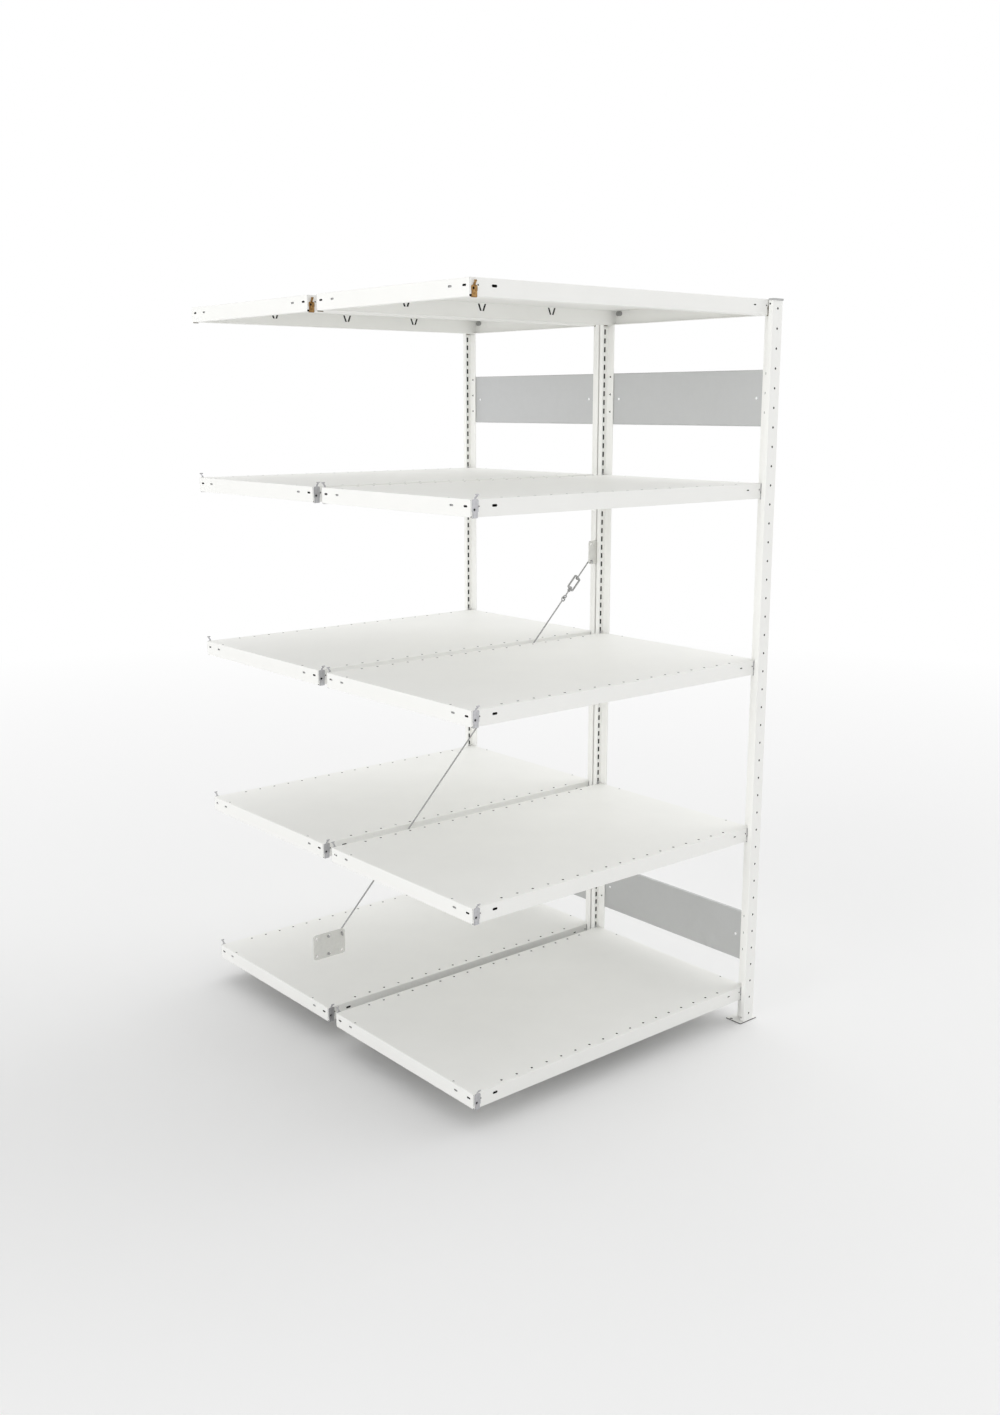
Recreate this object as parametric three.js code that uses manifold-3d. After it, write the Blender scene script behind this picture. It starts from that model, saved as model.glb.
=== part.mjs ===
// Add-on bay of double-sided boltless clip shelving. Millimetres, +Z up.
// X runs along the shelves, Y from the front unit to the rear unit.
import * as THREE from "three";
import { mergeVertices } from "three/addons/utils/BufferGeometryUtils.js";
import Module from "manifold-3d";

const wasm = await Module();
wasm.setup();

// Bay. The left end is the middle of the neighbouring bay's posts.
const bayPitch = 1005;
const leftEnd = -495;
const rackHeight = 2000;
const unitDepth = 635;
const halfUnitGap = 2.3;
const levelTops = [105, 580, 1055, 1530, 1998.5];
const topLevel = 4;
const meetingGap = 0.3;

// Shelf tray
const shelfLength = 1000;
const shelfDepth = 600;
const shelfHeight = 40;
const shelfSheet = 1;
const longLip = 30;
const shortLip = 15;
const upstandGap = 2.5;
const bendRelief = 0.5;
const cutPast = 1;
const endSlotFromEnd = 67.5;
const endSlotBelowTop = 16;
const endSlotLength = 14;
const endSlotHeight = 5;

// Post section, measured from its outer face
const postWidth = 40;
const postDepth = 40;
const postSheet = 1.5;
const headDepth = 15;
const webThickness = 3;
const postCorner = 2;
const cornerFlat = 0.3;
const boltHole = 6;
const boltPitch = 50;
const firstBolt = 25;
const slotWidth = 6;
const slotHeight = 15;
const slotPitch = 25;
const firstSlot = 15;
const slotFromCentre = 13.25;
const slotFromPostEnd = 3;
const sideHole = 5;
const sideHoleFromEnd = 13.5;
const sideHoleFromFace = 9.5;

// Foot plate and top cap
const footLength = 70;
const footDepth = 55;
const footThickness = 3;
const footOverhang = 0.5;
const footCorner = 2;
const footHole = 9;
const footHoleFromSide = 5;
const footHoleFromFace = 38.5;
const capWall = 1.2;
const capRoof = 3;
const capSkirt = 2;

// Clip, measured from its middle and from the top of its shelf
const clipSheet = 1.6;
const clipWidth = 18;
const clipBottom = -42;
const clipFoot = 13;
const clipHole = 4;
const clipHoleAt = [-4, -23];
const clipFromEnd = 10.75;
const clipGap = 0.4;
const shoulderDrop = 3.5;
const shoulderIn = 3.4;
const shoulderCut = 1.2;
const shoulderRise = 1.5;
const neckHalf = 2.2;
const hookOut = 7;
const hookDrop = 8.5;
const tongueOverlap = 1;
const hookHead = 3;
const hookHeadHalf = 5;
const shelfClip = { shoulder: -1, hookTop: 12 };
const topShelfClip = { shoulder: -17.5, hookTop: -6 };

// End panel
const panelHeight = 146;
const panelSheet = 1;
const panelFold = 8;
const panelBend = 1.5;
const panelBottoms = [175.5, 1677];
const panelFromFace = 15.5;
const panelHole = 7;
const panelHoleFromFace = 61;

// Brace
const plateHeight = 70;
const plateThickness = 4;
const plateCorner = 8;
const plateHole = 9;
const plateColumns = [-40, 0, 40];
const plateRows = [10, 60];
const plateEdge = 10;
const lowerPlateBottom = 265;
const upperPlateBottom = 1265;
const rodRadius = 2.4;
const rodSides = 8;
const eyeRadius = 6;
const eyeWire = 2;
const rodBehind = 8.3;
const hookReach = 4;
const hookTail = 8;
const frameLength = 43;
const frameWidth = 25;
const frameDepth = 7;
const frameBar = 3;
const frameEnd = 5;
const frameFromTop = 65;
const frameCorner = 2;
const boreGap = 0.35;
const threadInside = 4;
const nutRadius = 5.2;
const nutHeight = 6;
const nutFromFrame = 1;
const hookShank = 28;

const whitePaint = { color: 0xe9e9e6, roughness: 0.45, metalness: 0.0 };
const zincSheet = { color: 0xb8bab6, roughness: 0.42, metalness: 0.85 };
const zincPlated = { color: 0xa7a8aa, roughness: 0.35, metalness: 0.9 };
const yellowZinc = { color: 0xb27c38, roughness: 0.38, metalness: 0.85 };
const greyCap = { color: 0xb4b5b4, roughness: 0.55, metalness: 0.0 };

function toSolid(geometry, matrix) {
  const bare = geometry.clone();
  if (matrix) bare.applyMatrix4(matrix);
  bare.deleteAttribute("normal");
  bare.deleteAttribute("uv");
  const merged = mergeVertices(bare, 1e-4);
  return new wasm.Manifold(new wasm.Mesh({
    numProp: 3,
    vertProperties: new Float32Array(merged.attributes.position.array),
    triVerts: new Uint32Array(merged.index.array),
  }));
}

function toGeometry(solid) {
  const mesh = solid.getMesh();
  const geometry = new THREE.BufferGeometry();
  geometry.setAttribute("position", new THREE.BufferAttribute(mesh.vertProperties, 3));
  geometry.setIndex(new THREE.BufferAttribute(mesh.triVerts, 1));
  const flat = geometry.toNonIndexed();
  flat.computeVertexNormals();
  return flat;
}

function shift(x, y, z) {
  return new THREE.Matrix4().makeTranslation(x, y, z);
}

// A box given by its low and high corners.
function block(low, high) {
  const size = high.map((value, i) => value - low[i]);
  const middle = high.map((value, i) => (value + low[i]) / 2);
  return toSolid(new THREE.BoxGeometry(...size), shift(...middle));
}

// A round bar from one point to another.
function bar(from, to, radius, sides) {
  const start = new THREE.Vector3(...from);
  const along = new THREE.Vector3(...to).sub(start);
  const turn = new THREE.Quaternion().setFromUnitVectors(
    new THREE.Vector3(0, 1, 0),
    along.clone().normalize(),
  );
  const middle = start.clone().addScaledVector(along, 0.5);
  const matrix = new THREE.Matrix4().compose(middle, turn, new THREE.Vector3(1, 1, 1));
  return toSolid(new THREE.CylinderGeometry(radius, radius, along.length(), sides), matrix);
}

function ball(at, radius) {
  return toSolid(new THREE.SphereGeometry(radius, rodSides, 6), shift(...at));
}

function outline(points) {
  return new THREE.Shape(points.map(([x, y]) => new THREE.Vector2(x, y)));
}

function extrude(shape, depth) {
  return new THREE.ExtrudeGeometry(shape, { depth, bevelEnabled: false, curveSegments: 4 });
}

function join(solids) {
  return solids.reduce((all, next) => all.add(next));
}

function roundedRectangle(x0, y0, x1, y1, radius) {
  const shape = new THREE.Shape();
  shape.moveTo(x0 + radius, y0);
  shape.lineTo(x1 - radius, y0);
  shape.absarc(x1 - radius, y0 + radius, radius, -Math.PI / 2, 0, false);
  shape.lineTo(x1, y1 - radius);
  shape.absarc(x1 - radius, y1 - radius, radius, 0, Math.PI / 2, false);
  shape.lineTo(x0 + radius, y1);
  shape.absarc(x0 + radius, y1 - radius, radius, Math.PI / 2, Math.PI, false);
  shape.lineTo(x0, y0 + radius);
  shape.absarc(x0 + radius, y0 + radius, radius, Math.PI, 1.5 * Math.PI, false);
  return shape;
}

function roundHole(x, y, diameter, sides = 8) {
  const points = [];
  for (let i = 0; i < sides; i += 1) {
    const angle = (-2 * Math.PI * (i + 0.5)) / sides;
    points.push(new THREE.Vector2(x + Math.cos(angle) * diameter / 2, y + Math.sin(angle) * diameter / 2));
  }
  return new THREE.Path(points);
}

// T-shaped roll-formed post: a hollow head and a double web. slotSide is the lip that faces this bay.
function makePost(slotSide) {
  const half = postWidth / 2;
  const web = webThickness / 2;
  const r = postCorner;
  const flat = cornerFlat * r;
  const section = outline([
    [-half + r, 0], [half - r, 0], [half - flat, flat], [half, r],
    [half, headDepth - r], [half - flat, headDepth - flat], [half - r, headDepth],
    [web, headDepth], [web, postDepth], [-web, postDepth], [-web, headDepth],
    [-half + r, headDepth], [-half + flat, headDepth - flat], [-half, headDepth - r],
    [-half, r], [-half + flat, flat],
  ]);
  const t = postSheet;
  section.holes.push(new THREE.Path([
    new THREE.Vector2(-half + t, t),
    new THREE.Vector2(-half + t, headDepth - t),
    new THREE.Vector2(half - t, headDepth - t),
    new THREE.Vector2(half - t, t),
  ]));
  const foot = footThickness + meetingGap;
  const top = rackHeight - capRoof - meetingGap;
  const body = toSolid(extrude(section, top - foot), shift(0, 0, foot));
  const cutters = [];
  for (let z = firstBolt; z < rackHeight; z += boltPitch)
    cutters.push(bar([0, -cutPast, z], [0, t + cutPast, z], boltHole / 2, 6));
  for (let z = firstSlot; z < rackHeight; z += slotPitch) {
    const x = slotSide * slotFromCentre;
    cutters.push(block(
      [x - slotWidth / 2, headDepth - t - cutPast, Math.max(z - slotHeight / 2, foot + slotFromPostEnd)],
      [x + slotWidth / 2, headDepth + cutPast, Math.min(z + slotHeight / 2, top - slotFromPostEnd)],
    ));
  }
  for (const z of [sideHoleFromEnd, rackHeight - sideHoleFromEnd])
    cutters.push(bar(
      [-half - cutPast, sideHoleFromFace, z],
      [half + cutPast, sideHoleFromFace, z],
      sideHole / 2,
      6,
    ));
  return toGeometry(wasm.Manifold.difference([body, ...cutters]));
}

function makeFootPlate() {
  const x = footLength / 2;
  const shape = roundedRectangle(-x, -footOverhang, x, footDepth - footOverhang, footCorner);
  for (const side of [-1, 1])
    shape.holes.push(roundHole(side * (x - footHoleFromSide), footHoleFromFace, footHole));
  return extrude(shape, footThickness);
}

// Cap over the post's hollow head: a roof with a short skirt on three sides.
function makeCap() {
  const out = postWidth / 2 + meetingGap + capWall;
  const front = -meetingGap - capWall;
  const roofLow = rackHeight - capRoof;
  const whole = block([-out, front, roofLow - capSkirt], [out, headDepth, rackHeight]);
  const pocket = block(
    [-out + capWall, front + capWall, roofLow - capSkirt - cutPast],
    [out - capWall, headDepth + cutPast, roofLow],
  );
  return toGeometry(whole.subtract(pocket));
}

// Folded tray, its long sides turned in and up again to a box edge.
function makeShelf() {
  const y = shelfDepth / 2;
  const x = shelfLength / 2;
  const t = shelfSheet;
  const low = -shelfHeight + t;
  const lip = y - longLip;
  const inside = outline([
    [-y + t, -t], [-y + t, low], [-lip - t, low], [-lip - t, -upstandGap], [-lip, -upstandGap],
    [-lip, low], [lip, low], [lip, -upstandGap], [lip + t, -upstandGap], [lip + t, low],
    [y - t, low], [y - t, -t],
  ]);
  const lengthwise = new THREE.Matrix4().makeBasis(
    new THREE.Vector3(0, 1, 0),
    new THREE.Vector3(0, 0, 1),
    new THREE.Vector3(1, 0, 0),
  );
  const hollow = toSolid(extrude(inside, 2 * (x - t)), shift(-x + t, 0, 0).multiply(lengthwise));
  const mouth = block(
    [-x + shortLip, -lip + bendRelief, -shelfHeight - cutPast],
    [x - shortLip, lip - bendRelief, low + cutPast],
  );
  const cutters = [hollow, mouth];
  for (const end of [-1, 1]) {
    const middle = end * (x - endSlotFromEnd);
    for (const side of [-1, 1])
      cutters.push(block(
        [middle - endSlotLength / 2, side * y - t - cutPast, -endSlotBelowTop - endSlotHeight / 2],
        [middle + endSlotLength / 2, side * y + t + cutPast, -endSlotBelowTop + endSlotHeight / 2],
      ));
  }
  const whole = block([-x, -y, -shelfHeight], [x, y, 0]);
  return toGeometry(wasm.Manifold.difference([whole, ...cutters]));
}

// Stamped clip: plate, foot under the shelf, and a bent tongue whose head passes a post slot.
// shoulder is where the plate narrows and hookTop is the top of the head.
function makeClip({ shoulder, hookTop }) {
  const half = clipWidth / 2;
  const bend = hookTop - hookDrop;
  const neckLow = shoulder + shoulderRise;
  const plate = outline([
    [-half, clipBottom], [half, clipBottom], [half, shoulder - shoulderDrop],
    [half - shoulderCut, shoulder - shoulderCut], [half - shoulderIn, shoulder], [neckHalf, neckLow],
    [neckHalf, bend], [-neckHalf, bend], [-neckHalf, neckLow], [-half + shoulderIn, shoulder],
    [-half + shoulderCut, shoulder - shoulderCut], [-half, shoulder - shoulderDrop],
  ]);
  plate.holes.push(roundHole(...clipHoleAt, clipHole, 6));
  const upright = new THREE.Matrix4().makeRotationX(Math.PI / 2);
  const body = toSolid(extrude(plate, clipSheet), upright);
  const foot = block([-half, -clipSheet, clipBottom], [half, clipFoot, clipBottom + clipSheet]);
  const tongue = outline([
    [0, bend - tongueOverlap], [0, bend], [-hookOut, hookTop - hookHead], [-hookOut, hookTop],
    [-hookOut - clipSheet, hookTop], [-hookOut - clipSheet, hookTop - hookHead - 1],
    [-clipSheet, bend - tongueOverlap],
  ]);
  const sideways = new THREE.Matrix4().makeBasis(
    new THREE.Vector3(0, 1, 0),
    new THREE.Vector3(0, 0, 1),
    new THREE.Vector3(1, 0, 0),
  );
  const strip = toSolid(extrude(tongue, 2 * neckHalf), shift(-neckHalf, 0, 0).multiply(sideways));
  const head = block(
    [-hookHeadHalf, -hookOut - clipSheet, hookTop - hookHead],
    [hookHeadHalf, -hookOut, hookTop],
  );
  return toGeometry(join([body, foot, strip, head]));
}

// Sheet panel between two posts, its top and bottom edges folded outwards.
function makePanel() {
  const length = unitDepth - 2 * panelFromFace;
  const t = panelSheet;
  const r = panelBend;
  const section = outline([
    [0, r], [r, 0], [panelFold, 0], [panelFold, t], [r + t, t], [t, r + t],
    [t, panelHeight - r - t], [r + t, panelHeight - t], [panelFold, panelHeight - t],
    [panelFold, panelHeight], [r, panelHeight], [0, panelHeight - r],
  ]);
  const lengthwise = new THREE.Matrix4().makeBasis(
    new THREE.Vector3(1, 0, 0),
    new THREE.Vector3(0, 0, 1),
    new THREE.Vector3(0, -1, 0),
  );
  const sheet = toSolid(extrude(section, length), shift(0, length / 2, 0).multiply(lengthwise));
  const hole = unitDepth / 2 - panelHoleFromFace;
  const cutters = [-hole, hole].map((y) => bar(
    [-cutPast, y, panelHeight / 2], [t + cutPast, y, panelHeight / 2], panelHole / 2, 8,
  ));
  return toGeometry(wasm.Manifold.difference([sheet, ...cutters]));
}

// A brace plate with two rows of holes, one hole of each row in every column.
function makeGussetPlate(columns) {
  const x0 = columns[0] - plateEdge;
  const x1 = columns[columns.length - 1] + plateEdge;
  const shape = roundedRectangle(x0, 0, x1, plateHeight, plateCorner);
  for (const column of columns)
    for (const row of plateRows) shape.holes.push(roundHole(column, row, plateHole));
  return toGeometry(toSolid(
    extrude(shape, plateThickness),
    shift(0, plateThickness / 2, 0).multiply(new THREE.Matrix4().makeRotationX(Math.PI / 2)),
  ));
}

// The brace's own frame: distance along it from the lower hole, with +X towards the upper hole.
const braceLow = new THREE.Vector3(plateColumns[2], 0, lowerPlateBottom + plateRows[1]);
const braceHigh = new THREE.Vector3(bayPitch + plateColumns[0], 0, upperPlateBottom + plateRows[0]);
const braceLength = braceHigh.distanceTo(braceLow);
const braceAngle = Math.atan2(braceHigh.z - braceLow.z, braceHigh.x - braceLow.x);
const frameHigh = braceLength - frameFromTop;
const frameLow = frameHigh - frameLength;
const hookEye = frameLow - hookShank - eyeRadius;
const rodEye = hookEye - 2 * (eyeRadius - eyeWire) + meetingGap;

// The bent end that comes forward through a gusset plate's hole, with its tail hanging in front of it.
function bentEnd(s) {
  const front = -rodBehind - plateThickness / 2 - hookReach;
  const tail = [s - Math.sin(braceAngle) * hookTail, front, -Math.cos(braceAngle) * hookTail];
  return [
    ball([s, 0, 0], rodRadius),
    bar([s, 0, 0], [s, front, 0], rodRadius, rodSides),
    ball([s, front, 0], rodRadius),
    bar([s, front, 0], tail, rodRadius, rodSides),
  ];
}

function ring(s, acrossPlate) {
  const matrix = acrossPlate
    ? shift(s, 0, 0)
    : shift(s, 0, 0).multiply(new THREE.Matrix4().makeRotationX(Math.PI / 2));
  return toSolid(new THREE.TorusGeometry(eyeRadius, eyeWire, 6, 14), matrix);
}

function makeLongRod() {
  return toGeometry(join([
    ...bentEnd(0),
    bar([0, 0, 0], [rodEye - eyeRadius, 0, 0], rodRadius, rodSides),
    ring(rodEye, false),
  ]));
}

function makeShortHook() {
  return toGeometry(join([
    ring(hookEye, true),
    bar([hookEye + eyeRadius, 0, 0], [frameLow + frameEnd + threadInside, 0, 0], rodRadius, rodSides),
    bar([frameLow - nutFromFrame - nutHeight, 0, 0], [frameLow - nutFromFrame, 0, 0], nutRadius, 6),
  ]));
}

function makeUpperRod() {
  return toGeometry(join([
    ...bentEnd(braceLength),
    bar([braceLength, 0, 0], [frameHigh - frameEnd - threadInside, 0, 0], rodRadius, rodSides),
  ]));
}

// Open rectangular frame that turns on the two threaded rods.
function makeTurnbuckle() {
  const w = frameWidth / 2;
  const shape = roundedRectangle(frameLow, -w, frameHigh, w, frameCorner);
  const x0 = frameLow + frameEnd;
  const x1 = frameHigh - frameEnd;
  const z = w - frameBar;
  shape.holes.push(new THREE.Path([
    new THREE.Vector2(x0, -z), new THREE.Vector2(x0, z), new THREE.Vector2(x1, z), new THREE.Vector2(x1, -z),
  ]));
  const upright = new THREE.Matrix4().makeRotationX(Math.PI / 2);
  const body = toSolid(extrude(shape, frameDepth), shift(0, frameDepth / 2, 0).multiply(upright));
  const bore = bar(
    [frameLow - cutPast, 0, 0],
    [frameHigh + cutPast, 0, 0],
    rodRadius + boreGap,
    rodSides,
  );
  return toGeometry(body.subtract(bore));
}

const group = new THREE.Group();
group.position.x = leftEnd;

function place(name, geometry, paint, position, turn = 0, parent = group) {
  const mesh = new THREE.Mesh(geometry, new THREE.MeshStandardMaterial(paint));
  mesh.name = name;
  mesh.position.set(...position);
  mesh.rotation.z = turn;
  parent.add(mesh);
}

const postGeometry = { "-1": makePost(-1), 1: makePost(1) };
const footGeometry = makeFootPlate();
const capGeometry = makeCap();
const shelfGeometry = makeShelf();
const clipGeometry = makeClip(shelfClip);
const topClipGeometry = makeClip(topShelfClip);
const panelGeometry = makePanel();

const units = [["front", -1], ["rear", 1]];

for (const [unit, side] of units) {
  const middle = side * (halfUnitGap + unitDepth / 2);
  for (const edge of ["outer", "inner"]) {
    const out = edge === "outer" ? side : -side;
    const face = middle + (out * unitDepth) / 2;
    const turn = out > 0 ? Math.PI : 0;
    const where = [bayPitch, face, 0];
    place(`post_${unit}_${edge}`, postGeometry[out > 0 ? 1 : -1], whitePaint, where, turn);
    place(`foot_plate_${unit}_${edge}`, footGeometry, whitePaint, where, turn);
    place(`post_cap_${unit}_${edge}`, capGeometry, greyCap, where, turn);
  }
  const panelX = bayPitch + webThickness / 2 + meetingGap;
  place(`end_panel_${unit}_lower`, panelGeometry, zincSheet, [panelX, middle, panelBottoms[0]]);
  place(`end_panel_${unit}_upper`, panelGeometry, zincSheet, [panelX, middle, panelBottoms[1]]);

  levelTops.forEach((top, level) => {
    const isTop = level === topLevel;
    place(`shelf_${unit}_${level + 1}`, shelfGeometry, whitePaint, [bayPitch / 2, middle, top]);
    for (const edge of ["outer", "inner"]) {
      const out = edge === "outer" ? side : -side;
      const y = middle + out * (shelfDepth / 2 + clipGap);
      const turn = out > 0 ? Math.PI : 0;
      for (const end of ["left", "right"]) {
        const behindPost = end === "right" && !isTop && !(unit === "front" && edge === "outer");
        if (behindPost) continue;
        const towardsEnd = end === "left" ? -1 : 1;
        const x = bayPitch / 2 + towardsEnd * (shelfLength / 2 - clipFromEnd);
        place(
          `clip_${unit}_${level + 1}_${end}_${edge}`,
          isTop ? topClipGeometry : clipGeometry,
          isTop ? yellowZinc : zincPlated,
          [x, y, top],
          turn,
        );
      }
    }
  });
}

// The upper plate stands at the row's end, so it has no third column for a next bay's brace.
place("gusset_plate_lower", makeGussetPlate(plateColumns), zincPlated, [0, 0, lowerPlateBottom]);
place("gusset_plate_upper", makeGussetPlate(plateColumns.slice(0, 2)), zincPlated, [
  bayPitch, 0, upperPlateBottom,
]);

const brace = new THREE.Group();
brace.position.set(braceLow.x, rodBehind, braceLow.z);
brace.rotation.y = -braceAngle;
group.add(brace);
place("brace_rod_long", makeLongRod(), zincPlated, [0, 0, 0], 0, brace);
place("brace_hook_short", makeShortHook(), zincPlated, [0, 0, 0], 0, brace);
place("brace_turnbuckle", makeTurnbuckle(), zincPlated, [0, 0, 0], 0, brace);
place("brace_rod_upper", makeUpperRod(), zincPlated, [0, 0, 0], 0, brace);

export default group;
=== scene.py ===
import math

import bmesh
import bpy
from mathutils import Matrix, Vector
from mathutils.geometry import tessellate_polygon


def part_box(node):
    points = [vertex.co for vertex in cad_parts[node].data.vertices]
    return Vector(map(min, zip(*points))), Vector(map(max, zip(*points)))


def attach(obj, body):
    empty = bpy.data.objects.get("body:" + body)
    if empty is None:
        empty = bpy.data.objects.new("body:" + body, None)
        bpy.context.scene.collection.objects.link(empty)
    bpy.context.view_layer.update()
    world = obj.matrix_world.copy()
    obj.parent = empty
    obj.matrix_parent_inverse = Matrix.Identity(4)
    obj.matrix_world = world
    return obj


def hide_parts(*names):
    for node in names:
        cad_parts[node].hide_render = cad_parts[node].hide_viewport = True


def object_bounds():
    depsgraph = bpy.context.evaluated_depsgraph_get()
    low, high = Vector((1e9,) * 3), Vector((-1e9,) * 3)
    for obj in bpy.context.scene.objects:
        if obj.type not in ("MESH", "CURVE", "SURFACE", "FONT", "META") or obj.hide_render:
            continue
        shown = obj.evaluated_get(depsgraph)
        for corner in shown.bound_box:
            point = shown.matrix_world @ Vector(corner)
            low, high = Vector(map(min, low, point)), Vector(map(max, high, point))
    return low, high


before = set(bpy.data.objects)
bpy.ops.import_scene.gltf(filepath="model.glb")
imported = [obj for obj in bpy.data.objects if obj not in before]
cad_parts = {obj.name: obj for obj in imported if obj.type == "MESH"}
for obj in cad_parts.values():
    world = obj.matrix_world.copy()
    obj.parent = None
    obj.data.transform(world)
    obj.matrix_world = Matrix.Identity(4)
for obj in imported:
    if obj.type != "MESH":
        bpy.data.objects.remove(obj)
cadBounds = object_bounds()
print("frame loaded:", len(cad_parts), "nodes")

mm = 0.001  # sizes in this file are in millimetres
halfTurn = Matrix.Rotation(math.pi, 4, "Z")  # for pieces that face the other way
planes = {"xy": (0, 1, 2), "yz": (1, 2, 0), "xz": (0, 2, 1)}  # outline's two axes, then the depth
past = 1  # how far a cutter reaches past what it cuts
slack = 0.1  # margin when faces are picked by their place
samePoint = 0.001  # points closer together than this are one point
paintedShade = 1  # material number of the near-black painted shade: the unpainted, shaded inside of closed sections, hole walls and the foot plates' edges
platingAndShade = 2  # material number of the bosses' plating grey, also the painted shade of the grey behind a shelf's inner ovals


# Mesh helpers

def roundCorners(points, steps=4):
    # each point is x, y and the radius of its corner
    loop = []
    for i, (x, y, radius) in enumerate(points):
        corner = Vector((x, y))
        if not radius:
            loop.append((x, y))
            continue
        before = (Vector(points[i - 1][:2]) - corner).normalized()
        after = (Vector(points[(i + 1) % len(points)][:2]) - corner).normalized()
        angle = before.angle(after) / 2
        centre = corner + (before + after).normalized() * radius / math.sin(angle)
        spoke = corner + before * radius / math.tan(angle) - centre
        sweep = math.copysign(math.pi - 2 * angle, spoke.cross(corner - centre))
        for k in range(steps + 1):
            turn = Matrix.Rotation(sweep * k / steps, 2)
            loop.append(tuple(centre + turn @ spoke))
    return loop


def rectangle(x0, y0, x1, y1, radius=0, steps=4):
    return roundCorners([(x0, y0, radius), (x1, y0, radius), (x1, y1, radius), (x0, y1, radius)], steps)


def circle(x, y, diameter, sides=16):
    turns = [2 * math.pi * k / sides for k in range(sides)]
    return [(x + math.cos(a) * diameter / 2, y + math.sin(a) * diameter / 2) for a in turns]


def hexagon(size):
    # its size is measured across two flats
    return circle(0, 0, size * 2 / math.sqrt(3), 6)


def slot(x, y, length, width):
    # its ends are a hair short of half circles, so that no side has length zero
    return rectangle(x - length / 2, y - width / 2, x + length / 2, y + width / 2, width / 2 - 0.01)


def addPrism(shape, outline, low, high, plane="xy", holes=(), material=0):
    # a flat outline with holes, made thick from low to high
    loops = [list(outline)] + [list(hole) for hole in holes]
    points = [point for loop in loops for point in loop]
    triangles = tessellate_polygon([[Vector((u, v, 0)) for u, v in loop] for loop in loops])
    a, b, c = planes[plane]
    ends = []
    for depth in (low, high):
        ring = []
        for u, v in points:
            corner = Vector()
            corner[a] = u * mm
            corner[b] = v * mm
            corner[c] = depth * mm
            ring.append(shape.verts.new(corner))
        ends.append(ring)
    faces = [shape.faces.new([ring[i] for i in triangle]) for ring in ends for triangle in triangles]
    start = 0
    for loop in loops:
        for i in range(len(loop)):
            p = start + i
            q = start + (i + 1) % len(loop)
            faces.append(shape.faces.new((ends[0][p], ends[0][q], ends[1][q], ends[1][p])))
        start += len(loop)
    for face in faces:
        face.material_index = material
    bmesh.ops.recalc_face_normals(shape, faces=faces)


def addTube(shape, path, radii, sides=14, closed=False):
    # a round bar along a path of points, with a radius at each point
    points = [Vector(p) for p in path]
    last = len(points) - 1
    normal = None
    rings = []
    for i, point in enumerate(points):
        ahead = points[(i + 1) % len(points)] if closed or i < last else point
        behind = points[i - 1] if closed or i > 0 else point
        along = (ahead - behind).normalized()
        if normal is None:
            normal = along.orthogonal().normalized()
        normal = (normal - along * normal.dot(along)).normalized()
        side = along.cross(normal)
        ring = []
        for k in range(sides):
            a = 2 * math.pi * k / sides
            spoke = normal * math.cos(a) + side * math.sin(a)
            ring.append(shape.verts.new((point + spoke * radii[i]) * mm))
        rings.append(ring)
    faces = []
    pairs = list(zip(rings, rings[1:])) + ([(rings[-1], rings[0])] if closed else [])
    for one, two in pairs:
        for k in range(sides):
            j = (k + 1) % sides
            faces.append(shape.faces.new((one[k], one[j], two[j], two[k])))
    if not closed:
        faces.append(shape.faces.new(rings[0]))
        faces.append(shape.faces.new(rings[-1]))
    bmesh.ops.recalc_face_normals(shape, faces=faces)


def roundPath(points, radius, steps=6):
    # the same route with its corners bent to a radius
    bends = [Vector(p) for p in points]
    path = [bends[0]]
    for before, corner, after in zip(bends, bends[1:], bends[2:]):
        u = (before - corner).normalized()
        v = (after - corner).normalized()
        angle = u.angle(v) / 2
        centre = corner + (u + v).normalized() * radius / math.sin(angle)
        spoke = corner + u * radius / math.tan(angle) - centre
        axis = u.cross(v)
        for k in range(steps + 1):
            turn = Matrix.Rotation(-(math.pi - 2 * angle) * k / steps, 3, axis)
            path.append(centre + turn @ spoke)
    return path + [bends[-1]]


def shadeInside(shape, low, high):
    # gives the faces within a box the near-black of painted shade, standing for the unpainted, shaded inside of a
    # closed section
    for face in shape.faces:
        middle = face.calc_center_median() / mm
        if all(a <= m <= b for a, m, b in zip(low, middle, high)):
            face.material_index = paintedShade


def mergeFlat(shape):
    # joins neighbouring faces that lie in one plane
    bmesh.ops.dissolve_limit(
        shape, angle_limit=math.radians(0.4), verts=shape.verts[:], edges=shape.edges[:], delimit={"MATERIAL"},
    )


def weld(shape, gap):
    # joins points closer together than the gap, which a cut or a bevel can leave
    bmesh.ops.remove_doubles(shape, verts=shape.verts[:], dist=gap * mm)
    bmesh.ops.dissolve_degenerate(shape, dist=gap * mm, edges=shape.edges[:])


def softenEdges(shape, radius):
    mergeFlat(shape)
    sharp = [e for e in shape.edges if e.is_manifold and e.calc_face_angle(0) > math.radians(50)]
    bmesh.ops.bevel(
        shape, geom=sharp, offset=radius * mm, offset_type="OFFSET", segments=2, profile=0.5,
        affect="EDGES", clamp_overlap=True,
    )
    weld(shape, samePoint)


def finished(shape, name, materials, soften=0.0, smoothAngle=0):
    # closes off a shape as a mesh: soften rounds its sharp edges, smoothAngle shades round ones
    mergeFlat(shape)
    if soften:
        softenEdges(shape, soften)
    mesh = bpy.data.meshes.new(name)
    shape.to_mesh(mesh)
    shape.free()
    if smoothAngle:
        mesh.shade_smooth()
        mesh.set_sharp_from_angle(angle=math.radians(smoothAngle))
    for material in materials:
        mesh.materials.append(material)
    return mesh


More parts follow.
